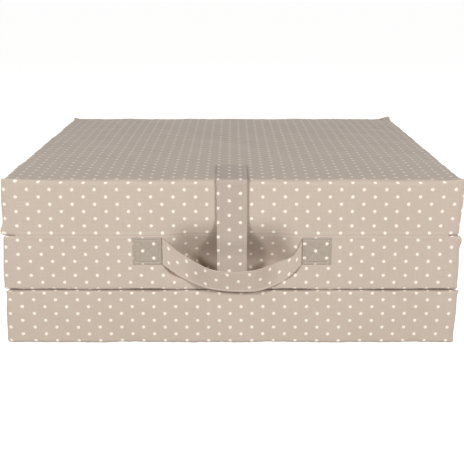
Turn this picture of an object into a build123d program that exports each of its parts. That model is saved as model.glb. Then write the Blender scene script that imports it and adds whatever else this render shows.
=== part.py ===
from build123d import *
import math
import os

# A folding mattress of three foam panels, folded in a Z into a stack.
# Millimetres. X points right for someone facing the carry handle, Y to the back, Z up.
# The origin is the middle of the bottom panel's footprint, on the floor.

# Panels
panel_width = 650.0
panel_length = 650.0
panel_thickness = 81.0
stack_gap = 0.3
corner_radius = 9.0
outer_rim_round = 7.0
inner_rim_round = 4.0
floor_rim_round = 6.0
crown_rise = 4.5

# Cover cloth, foam and what runs against what
cloth = 1.2
seam_tuck = 0.6
foam_clearance = 0.3
running_gap = 0.3
overrun = 5.0

# Fold seams
seam_radius = 0.9

# Zips, one in the left side of each panel
zip_end_margin = 45.0
zip_slot_height = 7.0
zip_tape_height = 12.0
zip_tape_thickness = 0.8
zip_tape_tail = 12.0
zip_slit = 1.4
coil_height = 2.3
coil_depth = 2.0
stop_length = 3.0
slider_length = 12.0
slider_height = 8.4
slider_plate = 1.2
slider_neck_length = 6.0
slider_back_height = 7.2
slider_back_plate = 1.0
bail_length = 8.0
bail_rise = 3.2
bail_width = 2.0
bail_bar = 1.0
pull_length = 26.0
pull_width = 7.2
pull_thickness = 1.2
pull_eye_length = 5.0
pull_pin_radius = 0.7

# Carry handle
handle_span = 201.0
handle_width = 40.0
handle_thickness = 2.0
patch_length = 41.5
patch_drop = 2.0
handle_top_sag = 44.0
handle_bottom_sag = 37.0
handle_top_reach = 27.0
handle_bottom_reach = 8.0

# Closing strap, its hook tape and the loop tongue that the tape grips
strap_width = 43.0
strap_thickness = 1.6
strap_sewn_length = 90.0
strap_bend_radius = 3.0
strap_end_lift = 3.5
hook_tape_length = 38.0
hook_tape_thickness = 0.8
tongue_thickness = 1.0
tongue_height = 42.0

panel_pitch = panel_thickness + stack_gap
bottom_base = 0.0
middle_base = panel_pitch
top_base = 2 * panel_pitch
front_face = -panel_length / 2
back_face = panel_length / 2
left_face = -panel_width / 2
zip_length = panel_length - 2 * zip_end_margin
fold_offset = seam_radius + running_gap
back_fold_height = middle_base - stack_gap / 2
front_fold_height = top_base - stack_gap / 2

os.makedirs("parts", exist_ok=True)


def save(piece, name):
    """Labels a finished piece and writes it under its name."""
    piece.label = name
    export_step(piece, f"parts/{name}.step")


# How the crown of the top sheet climbs: shares of its rise against how far it has come in from the rim, as shares
# of the panel's width and length. Its corners open by a share of that run.
crown_rise_shares = (0.0, 0.36, 0.66, 0.88, 1.0)
crown_run_shares = (0.0, 0.05, 0.12, 0.21, 0.32)
crown_corner_share = 0.4


def soft_block(base, inset, lower_rim, upper_rim, rise):
    """One padded panel, or its inside when inset is the cloth: a box with rounded corners and rims.
    With a rise it has a crowned top."""
    top = base + panel_thickness - inset
    with BuildPart() as block:
        with BuildSketch(Plane.XY.offset(base + inset)):
            RectangleRounded(
                panel_width - 2 * inset,
                panel_length - 2 * inset,
                corner_radius - inset,
            )
        extrude(amount=panel_thickness - 2 * inset)
        flats = block.faces().filter_by(Axis.Z).sort_by(Axis.Z)
        fillet(flats[0].edges(), lower_rim - inset)
        flats = block.faces().filter_by(Axis.Z).sort_by(Axis.Z)
        fillet(flats[-1].edges(), upper_rim - inset)
        if rise:
            for rise_share, run_share in zip(crown_rise_shares, crown_run_shares):
                corner_run = min(panel_width, panel_length) * run_share
                with BuildSketch(Plane.XY.offset(top + rise * rise_share)):
                    RectangleRounded(
                        panel_width * (1 - 2 * run_share) - 2 * upper_rim,
                        panel_length * (1 - 2 * run_share) - 2 * upper_rim,
                        corner_radius - upper_rim + corner_run * crown_corner_share,
                    )
            loft(ruled=True)
    return block.part


panels = {
    "bottom_panel": (bottom_base, floor_rim_round, inner_rim_round, 0.0),
    "middle_panel": (middle_base, inner_rim_round, inner_rim_round, 0.0),
    "top_panel": (top_base, inner_rim_round, outer_rim_round, crown_rise),
}

# Cloth that runs straight across a fold, past the rounded rims: (side, from, to) for each panel.
apron_width = panel_width - 2 * corner_radius
aprons = {
    "bottom_panel": [
        (back_face, middle_base - stack_gap - inner_rim_round, back_fold_height - stack_gap / 2),
    ],
    "middle_panel": [
        (back_face, back_fold_height + stack_gap / 2, middle_base + inner_rim_round),
        (front_face, top_base - stack_gap - inner_rim_round, front_fold_height - stack_gap / 2),
    ],
    "top_panel": [
        (front_face, front_fold_height + stack_gap / 2, top_base + inner_rim_round),
    ],
}


def apron(side, low, high):
    """The strip of cloth that carries the face of a panel straight on past its rim."""
    with BuildPart() as strip:
        with BuildSketch(Plane.XY.offset(low)):
            with Locations((0, side - math.copysign(cloth / 2, side))):
                Rectangle(apron_width, cloth)
        extrude(amount=high - low)
    return strip.part


for panel, (base, lower_rim, upper_rim, rise) in panels.items():
    outside = soft_block(base, 0.0, lower_rim, upper_rim, rise)
    inside = soft_block(base, cloth, lower_rim, upper_rim, rise)
    lower_seam = Plane.XY.offset(base + cloth + seam_tuck)
    upper_seam = Plane.XY.offset(base + panel_thickness - cloth - seam_tuck)
    middle_height = base + panel_thickness / 2

    panel_aprons = [apron(*edges) for edges in aprons[panel]]

    # Lower and upper sheet: the cloth below and above the seams, trimmed where an apron passes in front.
    with BuildPart() as lower_sheet:
        add(outside)
        add(inside, mode=Mode.SUBTRACT)
        split(bisect_by=lower_seam, keep=Keep.BOTTOM)
        add(panel_aprons, mode=Mode.SUBTRACT)
    save(lower_sheet.part, f"{panel}_lower_sheet")

    with BuildPart() as upper_sheet:
        add(outside)
        add(inside, mode=Mode.SUBTRACT)
        split(bisect_by=upper_seam, keep=Keep.TOP)
        add(panel_aprons, mode=Mode.SUBTRACT)
    save(upper_sheet.part, f"{panel}_upper_sheet")

    # Side band: the ring of cloth between the seams, with its aprons over the folds and the slot of its zip.
    with BuildPart() as side_band:
        add(outside)
        add(inside, mode=Mode.SUBTRACT)
        split(bisect_by=lower_seam, keep=Keep.TOP)
        split(bisect_by=upper_seam, keep=Keep.BOTTOM)
        add(panel_aprons)
        with BuildSketch(Plane.YZ.offset(left_face - overrun)):
            with Locations((0, middle_height)):
                Rectangle(zip_length, zip_slot_height)
        extrude(amount=overrun + 2 * cloth, mode=Mode.SUBTRACT)
    save(side_band.part, f"{panel}_side_band")

    # Foam core: a cut block with bevelled edges that fills the cover.
    # It is pressed in where the zip's tape and slider run.
    groove_depth = zip_tape_thickness + slider_back_plate + 2 * running_gap
    with BuildPart() as foam_core:
        with BuildSketch(Plane.XY.offset(base + cloth + foam_clearance)):
            RectangleRounded(
                panel_width - 2 * (cloth + foam_clearance),
                panel_length - 2 * (cloth + foam_clearance),
                corner_radius - cloth - foam_clearance,
            )
        extrude(amount=panel_thickness - 2 * (cloth + foam_clearance))
        flats = foam_core.faces().filter_by(Axis.Z).sort_by(Axis.Z)
        chamfer(flats[0].edges(), lower_rim - cloth)
        flats = foam_core.faces().filter_by(Axis.Z).sort_by(Axis.Z)
        chamfer(flats[-1].edges(), upper_rim - cloth)
        with BuildSketch(Plane.YZ.offset(left_face)):
            with Locations((0, middle_height)):
                Rectangle(
                    zip_length + 2 * (zip_tape_tail + foam_clearance),
                    2 * (zip_tape_height + foam_clearance) + zip_slit,
                )
        extrude(amount=cloth + foam_clearance + groove_depth, mode=Mode.SUBTRACT)
    save(foam_core.part, f"{panel}_foam_core")

    # Zip tape: two woven halves behind the slot, a slit apart, against the inside of the band.
    tape_face = left_face + cloth
    half_tape_middle = (zip_slit + zip_tape_height) / 2
    with BuildPart() as zip_tape:
        with BuildSketch(Plane.YZ.offset(tape_face)):
            with Locations((0, middle_height - half_tape_middle), (0, middle_height + half_tape_middle)):
                Rectangle(zip_length + 2 * zip_tape_tail, zip_tape_height)
        extrude(amount=zip_tape_thickness)
    save(zip_tape.part, f"{panel}_zip_tape")

    # Zip chain: a coil with a rounded back on each half of the tape, and a stop at each end of the slot.
    coil_length = zip_length - 2 * stop_length
    coil_middle = (zip_slit + coil_height) / 2
    stop_height = 2 * coil_height + zip_slit
    with BuildPart() as zip_chain:
        with BuildSketch(Plane.YZ.offset(tape_face)):
            with Locations((0, middle_height - coil_middle), (0, middle_height + coil_middle)):
                Rectangle(coil_length, coil_height)
        extrude(amount=-coil_depth)
        outer_faces = zip_chain.faces().sort_by(Axis.X)[:2]
        fillet(outer_faces.edges().filter_by(Axis.Y), coil_height / 3)
        stop_middle = (zip_length - stop_length) / 2
        with BuildSketch(Plane.YZ.offset(tape_face)):
            with Locations((-stop_middle, middle_height), (stop_middle, middle_height)):
                Rectangle(stop_length, stop_height)
        extrude(amount=-(coil_depth + slider_plate))
    save(zip_chain.part, f"{panel}_zip_chain")

    # Zip slider: a plate over the chain and one behind the tape, joined by a neck in the slit.
    # A bail on top holds the pull.
    slider_middle = (coil_length - slider_length) / 2 - running_gap
    plate_face = tape_face - coil_depth - running_gap
    slider_face = plate_face - slider_plate
    slider_back = tape_face + zip_tape_thickness + running_gap
    with BuildPart() as zip_slider:
        with BuildSketch(Plane.YZ.offset(plate_face)):
            with Locations((slider_middle, middle_height)):
                RectangleRounded(slider_length, slider_height, slider_height / 4)
        extrude(amount=-slider_plate)
        with BuildSketch(Plane.YZ.offset(plate_face)):
            with Locations((slider_middle, middle_height)):
                Rectangle(slider_neck_length, zip_slit - 2 * running_gap)
        extrude(amount=slider_back - plate_face)
        with BuildSketch(Plane.YZ.offset(slider_back)):
            with Locations((slider_middle, middle_height)):
                RectangleRounded(slider_length, slider_back_height, slider_back_height / 4)
        extrude(amount=slider_back_plate)
        with BuildSketch(Plane.XY.offset(middle_height - bail_width / 2)):
            with Locations((slider_face - bail_rise / 2, slider_middle)):
                Rectangle(bail_rise, bail_length)
            with Locations((slider_face - (bail_rise - bail_bar) / 2, slider_middle)):
                Rectangle(bail_rise - bail_bar, bail_length - 2 * bail_bar, mode=Mode.SUBTRACT)
        extrude(amount=bail_width)
    save(zip_slider.part, f"{panel}_zip_slider")

    # Pull tab: a plate whose eye goes round the bail, with the pin of the eye through the bail.
    pin_x = slider_face - (bail_rise - bail_bar) / 2
    pull_low_end = slider_middle - pull_length
    pull_middle = (slider_middle + pull_pin_radius + pull_low_end) / 2
    eye_width = bail_width + 2 * running_gap
    with BuildPart() as zip_pull:
        with BuildSketch(Plane.YZ.offset(pin_x - pull_thickness / 2)):
            with Locations((pull_middle, middle_height)):
                RectangleRounded(
                    slider_middle + pull_pin_radius - pull_low_end, pull_width, pull_width / 4
                )
            with Locations((slider_middle - pull_pin_radius - pull_eye_length / 2, middle_height)):
                Rectangle(pull_eye_length, eye_width, mode=Mode.SUBTRACT)
        extrude(amount=pull_thickness)
        with BuildSketch(Plane.XY.offset(middle_height - pull_width / 2)):
            with Locations((pin_x, slider_middle)):
                Circle(pull_pin_radius)
        extrude(amount=pull_width)
    save(zip_pull.part, f"{panel}_zip_pull")


# Fold seams: the rolled, stitched line of cloth that two panels turn about.
def fold_seam(y, z):
    """A thin roll of cloth along X, as long as the straight stretch of the panels."""
    with BuildPart() as roll:
        with BuildSketch(Plane.YZ.offset(-apron_width / 2)):
            with Locations((y, z)):
                Circle(seam_radius)
        extrude(amount=apron_width)
    return roll.part


save(fold_seam(back_face + fold_offset, back_fold_height), "back_fold_seam")
save(fold_seam(front_face - fold_offset, front_fold_height), "front_fold_seam")

# Carry handle: two ends sewn flat on the middle panel, and the band that hangs between them.
patch_top = front_fold_height - patch_drop
patch_bottom = patch_top - handle_width
for patch_name, side in (("left_handle_patch", -1), ("right_handle_patch", 1)):
    with BuildPart() as handle_patch:
        with BuildSketch(Plane.XZ.offset(-front_face)):
            with Locations((side * (handle_span + patch_length) / 2, (patch_top + patch_bottom) / 2)):
                Rectangle(patch_length, handle_width)
        extrude(amount=handle_thickness)
    save(handle_patch.part, patch_name)

# The band's stations from its left end to its right end: where each lies along the span, how far its upper and
# lower edges sag, and how far they reach out from the face. The right end leaves its patch more steeply.
station_shares = (-1.0, -0.72, -0.44, -0.1, 0.25, 0.57, 0.8, 0.94, 1.0)
top_sag_shares = (0.0, 0.34, 0.7, 0.96, 0.97, 0.8, 0.63, 0.38, 0.05)
bottom_sag_shares = (0.0, 0.36, 0.72, 0.94, 1.0, 0.88, 0.56, 0.2, 0.0)
top_reach_shares = (0.0, 0.4, 0.75, 0.98, 1.0, 0.85, 0.55, 0.22, 0.0)
bottom_reach_shares = (0.0, 0.6, 0.88, 1.0, 1.0, 0.9, 0.65, 0.3, 0.0)

band_half_span = (handle_span - handle_thickness) / 2 - running_gap
band_rest_face = front_face - running_gap - handle_thickness / 2


def band_edge(height, sag, sag_shares, reach, reach_shares):
    """Points along one edge of the band, which hangs below its height by the sag and stands off by the reach."""
    return [
        (band_half_span * place, band_rest_face - reach * reach_share, height - sag * sag_share)
        for place, sag_share, reach_share in zip(station_shares, sag_shares, reach_shares)
    ]


with BuildLine():
    upper_edge = Spline(*band_edge(patch_top, handle_top_sag, top_sag_shares, handle_top_reach, top_reach_shares))
    lower_edge = Spline(
        *band_edge(patch_bottom, handle_bottom_sag, bottom_sag_shares, handle_bottom_reach, bottom_reach_shares)
    )
with BuildPart() as carry_handle_band:
    thicken(Face.make_surface_from_curves(upper_edge, lower_edge), amount=handle_thickness / 2, both=True)
save(carry_handle_band.part, "carry_handle_band")

# Closing strap: its sewn end lies on the crown of the top sheet, up to the rim.
top_height = top_base + panel_thickness
strap_end_front = front_face + outer_rim_round
strap_end_length = strap_sewn_length - outer_rim_round
top_outside = soft_block(top_base, 0.0, inner_rim_round, outer_rim_round, crown_rise)
with BuildPart() as closing_strap_end:
    with BuildSketch(Plane.XY.offset(top_height - overrun)):
        with Locations((0, strap_end_front + strap_end_length / 2)):
            Rectangle(strap_width, strap_end_length)
    extrude(amount=2 * overrun)
    add(top_outside.moved(Location((0, 0, strap_thickness))), mode=Mode.INTERSECT)
    add(top_outside, mode=Mode.SUBTRACT)
save(closing_strap_end.part, "closing_strap_end")

# The flap bends down at the edge, hangs in front of both panels and ends behind the handle.
tongue_front = front_face - running_gap - tongue_thickness
tape_front = tongue_front - running_gap - hook_tape_thickness
flap_y = tape_front - strap_thickness / 2
flap_bottom = middle_base + strap_end_lift
flap_lip_height = top_height + running_gap + strap_thickness / 2
strap_fold_height = top_height + strap_thickness + running_gap
with BuildPart() as closing_strap_flap:
    with BuildSketch(Plane.YZ.offset(-strap_width / 2)):
        with BuildLine():
            FilletPolyline(
                (strap_end_front - running_gap, flap_lip_height),
                (flap_y, strap_fold_height),
                (flap_y, flap_bottom),
                radius=strap_bend_radius,
            )
        trace(line_width=strap_thickness)
    extrude(amount=strap_width)
save(closing_strap_flap.part, "closing_strap_flap")

# Hook tape: sewn on the back of the flap's lower end.
with BuildPart() as strap_hook_tape:
    with BuildSketch(Plane.XZ.offset(-tape_front - hook_tape_thickness)):
        with Locations((0, flap_bottom + hook_tape_length / 2)):
            Rectangle(strap_width, hook_tape_length)
    extrude(amount=hook_tape_thickness)
save(strap_hook_tape.part, "strap_hook_tape")

# Loop tongue: sewn into the front seam of the bottom panel and standing up behind the strap.
# Its foot goes into the slit between the rounded rims as far as the slit leaves it a gap above and below.
tongue_y = front_face - running_gap - tongue_thickness / 2
slit_drop = (tongue_thickness + 2 * running_gap - stack_gap) / 2
foot_depth = inner_rim_round - math.sqrt(inner_rim_round**2 - (inner_rim_round - slit_drop) ** 2)
with BuildPart() as strap_loop_tongue:
    with BuildSketch(Plane.YZ.offset(-strap_width / 2)):
        with BuildLine():
            FilletPolyline(
                (front_face + foot_depth, back_fold_height),
                (tongue_y, back_fold_height),
                (tongue_y, back_fold_height + tongue_height),
                radius=tongue_thickness,
            )
        trace(line_width=tongue_thickness)
    extrude(amount=strap_width)
save(strap_loop_tongue.part, "strap_loop_tongue")
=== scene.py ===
import math

import bpy
import numpy as np
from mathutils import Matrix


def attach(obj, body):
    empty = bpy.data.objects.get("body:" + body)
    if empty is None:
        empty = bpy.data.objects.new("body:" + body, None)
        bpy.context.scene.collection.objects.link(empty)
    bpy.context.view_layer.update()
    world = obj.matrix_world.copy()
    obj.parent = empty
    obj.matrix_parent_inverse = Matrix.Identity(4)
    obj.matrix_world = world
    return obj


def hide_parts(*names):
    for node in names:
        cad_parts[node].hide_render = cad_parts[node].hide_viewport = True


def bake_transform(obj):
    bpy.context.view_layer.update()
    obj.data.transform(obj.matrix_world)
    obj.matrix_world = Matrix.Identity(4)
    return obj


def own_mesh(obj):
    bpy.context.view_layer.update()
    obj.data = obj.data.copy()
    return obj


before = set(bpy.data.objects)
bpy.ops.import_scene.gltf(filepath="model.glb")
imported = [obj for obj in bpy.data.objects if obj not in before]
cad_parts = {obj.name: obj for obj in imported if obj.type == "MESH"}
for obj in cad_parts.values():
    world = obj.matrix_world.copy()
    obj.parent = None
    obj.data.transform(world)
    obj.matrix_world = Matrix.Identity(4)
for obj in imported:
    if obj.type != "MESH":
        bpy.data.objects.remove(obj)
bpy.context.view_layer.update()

mm = 0.001

# Camera: it stands in front of the folded mattress, a little above its top, and looks slightly down at it.
# The lens is long, so the stack narrows only a little towards its back.
look_down = 15.2
scene = bpy.context.scene
camera_data = bpy.data.cameras.new("camera")
camera_data.sensor_width = 36.0
camera_data.lens = 73.8
camera_data.shift_y = 0.0318
camera_data.clip_end = 50.0
camera = bpy.data.objects.new("camera", camera_data)
camera.location = (0.0, -1.6378, 0.5033)
camera.rotation_euler = (math.radians(90 - look_down), 0.0, 0.0)
scene.collection.objects.link(camera)
scene.camera = camera
scene.view_settings.view_transform = "Standard"


# Studio: a white floor under a white surround, with two soft lamps in front, two low ones behind and a weak
# one overhead. The floor is matt paint that keeps the stack's soft shadow and shows white elsewhere.
def linear(code):
    """A hex colour in linear light: a share up to 0.04045 is divided by 12.92. A larger one has 0.055 added,
    is divided by 1.055 and raised to the power 2.4."""
    shares = [int(code[i:i + 2], 16) / 255 for i in (1, 3, 5)]
    return (*[s / 12.92 if s <= 0.04045 else ((s + 0.055) / 1.055) ** 2.4 for s in shares], 1.0)


def add(tree, kind, links=(), **settings):
    """Adds a node. Settings are its attributes. Links pair a socket with a value, another node's output, or a
    node, which stands for its first output."""
    new = tree.nodes.new(kind)
    for key, value in settings.items():
        setattr(new, key, value)
    for socket, value in links:
        if isinstance(value, bpy.types.Node):
            value = value.outputs[0]
        if isinstance(value, bpy.types.NodeSocket):
            tree.links.new(value, new.inputs[socket])
        else:
            new.inputs[socket].default_value = value
    return new


def empty_material(name):
    """A new material and its node tree, with no node in it yet."""
    material = bpy.data.materials.new(name)
    material.use_nodes = True
    material.node_tree.nodes.clear()
    return material, material.node_tree


ambient_light = 0.16
floor_glow = 0.92
floor_reach = 40.0

world = bpy.data.worlds.new("surround")
scene.world = world
world.use_nodes = True
tree = world.node_tree
tree.nodes.clear()
path = add(tree, "ShaderNodeLightPath")
seen = add(tree, "ShaderNodeMath", [(0, path.outputs["Is Camera Ray"]), (1, path.outputs["Is Glossy Ray"])],
           operation="MAXIMUM")
ambient = add(tree, "ShaderNodeBackground", [("Color", linear("#fdfbf8")), ("Strength", ambient_light)])
white = add(tree, "ShaderNodeBackground", [("Color", linear("#ffffff")), ("Strength", 1.0)])
either = add(tree, "ShaderNodeMixShader", [(0, seen), (1, ambient), (2, white)])
add(tree, "ShaderNodeOutputWorld", [("Surface", either)])

floor_material, tree = empty_material("painted_floor")
path = add(tree, "ShaderNodeLightPath")
lift = add(tree, "ShaderNodeMath", [(0, path.outputs["Is Camera Ray"]), (1, floor_glow)],
           operation="MULTIPLY")
paint = add(tree, "ShaderNodeBsdfDiffuse", [("Color", linear("#adadac"))])
glow = add(tree, "ShaderNodeEmission", [("Color", linear("#ffffff")), ("Strength", lift)])
both = add(tree, "ShaderNodeAddShader", [(0, paint), (1, glow)])
add(tree, "ShaderNodeOutputMaterial", [("Surface", both)])

floor_mesh = bpy.data.meshes.new("floor")
corners = ((-1, -1), (1, -1), (1, 1), (-1, 1))
floor_mesh.from_pydata([(x * floor_reach, y * floor_reach, 0) for x, y in corners], [], [(0, 1, 2, 3)])
floor_mesh.materials.append(floor_material)
floor = bpy.data.objects.new("floor", floor_mesh)
scene.collection.objects.link(floor)

for lamp_name, place, aim, size, power in (
    ("left_lamp", (-1.7, -2.5, 1.25), (0.0, -0.3, 0.12), 0.6, 49.0),
    ("right_lamp", (1.7, -2.5, 1.25), (0.0, -0.3, 0.12), 0.6, 47.0),
    ("back_left_lamp", (-2.7, 2.1, 0.62), (0.0, 0.1, 0.12), 1.1, 32.0),
    ("back_right_lamp", (2.7, 2.3, 0.62), (0.0, 0.1, 0.12), 1.1, 36.0),
    ("top_lamp", (0.0, 0.1, 2.9), (0.0, 0.0, 0.2), 1.6, 1.5),
):
    lamp_data = bpy.data.lights.new(lamp_name, "AREA")
    lamp_data.size = size
    lamp_data.energy = power
    lamp = bpy.data.objects.new(lamp_name, lamp_data)
    lamp.location = place
    reach = np.array(aim) - np.array(place)
    lamp.rotation_euler = (math.atan2(math.hypot(reach[0], reach[1]), -reach[2]), 0.0,
                           math.atan2(reach[1], reach[0]) - math.pi / 2)
    scene.collection.objects.link(lamp)


# Covers: each panel's cover is sewn from printed cotton with turned seams, and the cut foam inside fills it.
# The top and front of the top panel and the front of the middle one are a single length of the cloth. The
# faces stay nearly flat, the seams pucker a little, and their corners stand out as ears.
panels = ("bottom_panel", "middle_panel", "top_panel")
panel_half = 325.0
panel_height = 81.0
panel_pitch = 81.3
half_gap = 0.15
cover_corner = 4.5
open_rim = 4.5
fold_rim = 0.35
top_front_rim = 8.0
slit_rims = (2.8, 3.6)
slit_gape = 0.9
slit_gape_height = 9.0
crown_rise = 4.5
crown_run = 208.0
seam_depth = 0.9
seam_reach = 8.0
furrow_inset = 3.5
slot_half_length = 282.0
slot_half_height = 4.2
slot_depth = 2.9
hollow_depth = 44.0
hollow_middle = -1.0
hollow_half_width = 59.0
hollow_top = 190.0
hollow_foot = 84.0
dent_depth = 2.8
dot_pitch = (31.7, 21.0)
dot_radius = 2.35
dot_softness = 0.5
print_x = 305.1
print_z = -240.4
touch = 0.01
tiny = 1e-9


def printed_cotton(name, ground_code, streak_code):
    """Plain-woven cotton with a stencil of cream dots, matt and a little streaky. The dots lie in two even
    grids, the second half a pitch off: a spot is inside a dot where its distance to the nearest point of
    either grid is under the dot's radius."""
    material, tree = empty_material(name)
    pitch = (dot_pitch[0] * mm, dot_pitch[1] * mm, 1.0)
    cloth = add(tree, "ShaderNodeUVMap", uv_map="cloth")
    # The printed edge wanders by a few tenths of a millimetre over the yarns.
    wander = add(tree, "ShaderNodeTexNoise", [("Vector", cloth), ("Scale", 420.0), ("Detail", 1.0)])
    centred = add(tree, "ShaderNodeVectorMath", [(0, wander.outputs["Color"]), (1, (0.5, 0.5, 0.5))],
                  operation="SUBTRACT")
    small = add(tree, "ShaderNodeVectorMath", [(0, centred), ("Scale", 0.0010)], operation="SCALE")
    moved = add(tree, "ShaderNodeVectorMath", [(0, cloth), (1, small)])
    counted = add(tree, "ShaderNodeVectorMath", [(0, moved), (1, pitch)], operation="DIVIDE")
    reaches = []
    for shift in (0.0, 0.5):
        shifted = add(tree, "ShaderNodeVectorMath", [(0, counted), (1, (shift, shift, 0.0))])
        cell = add(tree, "ShaderNodeVectorMath",
                   [(0, shifted), (1, (0.5, 0.5, 1.0)), (2, (-0.5, -0.5, -1.0))], operation="WRAP")
        real = add(tree, "ShaderNodeVectorMath", [(0, cell), (1, (*pitch[:2], 0.0))], operation="MULTIPLY")
        reaches.append(add(tree, "ShaderNodeVectorMath", [(0, real)], operation="LENGTH").outputs["Value"])
    nearest = add(tree, "ShaderNodeMath", enumerate(reaches), operation="MINIMUM")
    dot = add(tree, "ShaderNodeMapRange",
              [("Value", nearest), ("From Min", (dot_radius - dot_softness) * mm),
               ("From Max", (dot_radius + dot_softness) * mm), ("To Min", 1.0), ("To Max", 0.0)],
              interpolation_type="SMOOTHSTEP")
    # Yarns vary along their length: long thin streaks both ways, drawn at 1.5 mm, as the 0.4 mm of real yarns
    # doesn't show.
    both_ways = []
    for stretch in ((650.0, 42.0, 1.0), (42.0, 650.0, 1.0)):
        drawn_out = add(tree, "ShaderNodeVectorMath", [(0, cloth), (1, stretch)], operation="MULTIPLY")
        both_ways.append(add(tree, "ShaderNodeTexNoise",
                             [("Vector", drawn_out), ("Scale", 1.0), ("Detail", 2.0)]))
    yarns = add(tree, "ShaderNodeMath", enumerate(both_ways))
    streaks = add(tree, "ShaderNodeMapRange", [("Value", yarns), ("From Min", 0.72), ("From Max", 1.28)])
    soil = add(tree, "ShaderNodeTexNoise", [("Vector", cloth), ("Scale", 9.0), ("Detail", 3.0)])
    patchy = add(tree, "ShaderNodeMath", [(0, streaks), (1, soil)], operation="MULTIPLY")
    # A colour mix has its factor at socket 0, its two colours at 6 and 7, and its result at output 2.
    ground = add(tree, "ShaderNodeMix", [(0, patchy), (6, linear(streak_code)), (7, linear(ground_code))],
                 data_type="RGBA")
    printed = add(tree, "ShaderNodeMix", [(0, dot), (6, ground.outputs[2]), (7, linear("#faf1e4"))],
                  data_type="RGBA")
    # The weave: over-and-under ripples at a 1.3 mm pitch, three times the real one, with the streaks on top.
    ripples = [add(tree, "ShaderNodeTexWave", [("Vector", cloth), ("Scale", 240.0), ("Distortion", 0.6)],
                   bands_direction=direction).outputs["Fac"] for direction in ("X", "Y")]
    crossed = add(tree, "ShaderNodeMath", enumerate(ripples), operation="MULTIPLY")
    relief = add(tree, "ShaderNodeMath", [(0, crossed), (1, yarns)])
    bump = add(tree, "ShaderNodeBump", [("Strength", 0.35), ("Distance", 0.00012), ("Height", relief)])
    surface = add(tree, "ShaderNodeBsdfPrincipled",
                  [("Base Color", printed.outputs[2]), ("Roughness", 0.88), ("IOR", 1.46),
                   ("Specular IOR Level", 0.25), ("Sheen Weight", 0.12), ("Sheen Roughness", 0.5),
                   ("Normal", bump)])
    add(tree, "ShaderNodeOutputMaterial", [("Surface", surface)])
    return material


cover_cotton = printed_cotton("printed_cotton_cover", "#d0c1b3", "#c6b6a7")


def smooth(t):
    """A soft step: 0 up to 0, 1 from 1, and three t squared less two t cubed between."""
    t = np.clip(t, 0.0, 1.0)
    return t * t * (3.0 - 2.0 * t)


def pocket(x, z):
    """How deep the cloth is pushed in behind the handle and the strap, the product of three soft steps. The
    hollow runs out over 40 mm on both sides, 80 mm upwards into the top panel, and 18 mm downwards to its
    foot, which lies 13 mm higher beside the strap, where the handle rests on the filled front. A shallow
    dent at the lower edge of the middle panel takes the end of the strap."""
    width = 1 - smooth((np.abs(x - hollow_middle) - hollow_half_width) / 40.0)
    foot = hollow_foot + 13.0 * smooth((np.abs(x) - 23.0) / 32.0)
    fall = smooth((hollow_top - z) / 80.0) ** 1.15 * smooth((z - foot) / 18.0)
    dent = (1 - smooth((np.abs(x) - 24.0) / 12.0)) * smooth((z - 81.05) / 0.2) * smooth((106.0 - z) / 12.0)
    return hollow_depth * width * fall + dent_depth * dent


def make_piece(name, patches, materials):
    """Joins patches into one mesh. Each patch is its points, n by 3 in millimetres, its quads, m by 4 counted
    in that patch, their cloth coordinates, m by 4 by 2 in millimetres, and a material number."""
    starts = np.cumsum([0] + [len(p[0]) for p in patches])
    points = np.concatenate([p[0] for p in patches])
    quads = np.concatenate([p[1] + s for p, s in zip(patches, starts)])
    cloth = np.concatenate([p[2] for p in patches])
    numbers = np.concatenate([np.full(len(p[1]), p[3]) for p in patches])
    mesh = bpy.data.meshes.new(name)
    mesh.vertices.add(len(points))
    mesh.vertices.foreach_set("co", (points * mm).astype(np.float32).ravel())
    mesh.loops.add(quads.size)
    mesh.loops.foreach_set("vertex_index", quads.astype(np.int32).ravel())
    mesh.polygons.add(len(quads))
    mesh.polygons.foreach_set("loop_start", np.arange(0, quads.size, 4, dtype=np.int32))
    mesh.polygons.foreach_set("loop_total", np.full(len(quads), 4, np.int32))
    mesh.polygons.foreach_set("material_index", numbers.astype(np.int32))
    mesh.uv_layers.new(name="cloth").data.foreach_set("uv", (cloth * mm).astype(np.float32).ravel())
    mesh.update(calc_edges=True)
    mesh.polygons.foreach_set("use_smooth", np.ones(len(quads), bool))
    mesh.set_sharp_from_angle(angle=math.radians(48))
    for material in materials:
        mesh.materials.append(material)
    mesh.validate()
    piece = bpy.data.objects.new(name, mesh)
    scene.collection.objects.link(piece)
    return piece


def lattice(rows, columns, flip=False):
    """The quads of a grid of points, counted row by row, turned over where flip is set."""
    i, j = np.meshgrid(np.arange(rows - 1), np.arange(columns - 1), indexing="ij")
    first = (i * columns + j).ravel()
    quads = np.stack([first, first + columns, first + columns + 1, first + 1], axis=1)
    return quads[:, ::-1] if flip else quads


def box_faces(along_x, along_y, along_z, cloth_shift):
    """The six faces of a box on the given grid lines. Each is its points, the quads that face out, and the
    flat cloth under its points: a wall's width and height or a sheet's width and depth, plus its shift."""
    faces = []
    lines = (along_x, along_y, along_z)
    for side, fixed, (first, second) in (
        ("top", along_z[-1], (0, 1)), ("bottom", along_z[0], (0, 1)), ("front", along_y[0], (0, 2)),
        ("back", along_y[-1], (0, 2)), ("right", along_x[-1], (1, 2)), ("left", along_x[0], (1, 2)),
    ):
        a, b = np.meshgrid(lines[first], lines[second], indexing="ij")
        box = np.full((a.size, 3), fixed)
        box[:, first], box[:, second] = a.ravel(), b.ravel()
        flat = box[:, [first, second]] + np.array(cloth_shift.get(side, (0.0, 0.0)))
        faces.append((box, lattice(*a.shape, side in ("bottom", "back", "left")), flat))
    return faces


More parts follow.
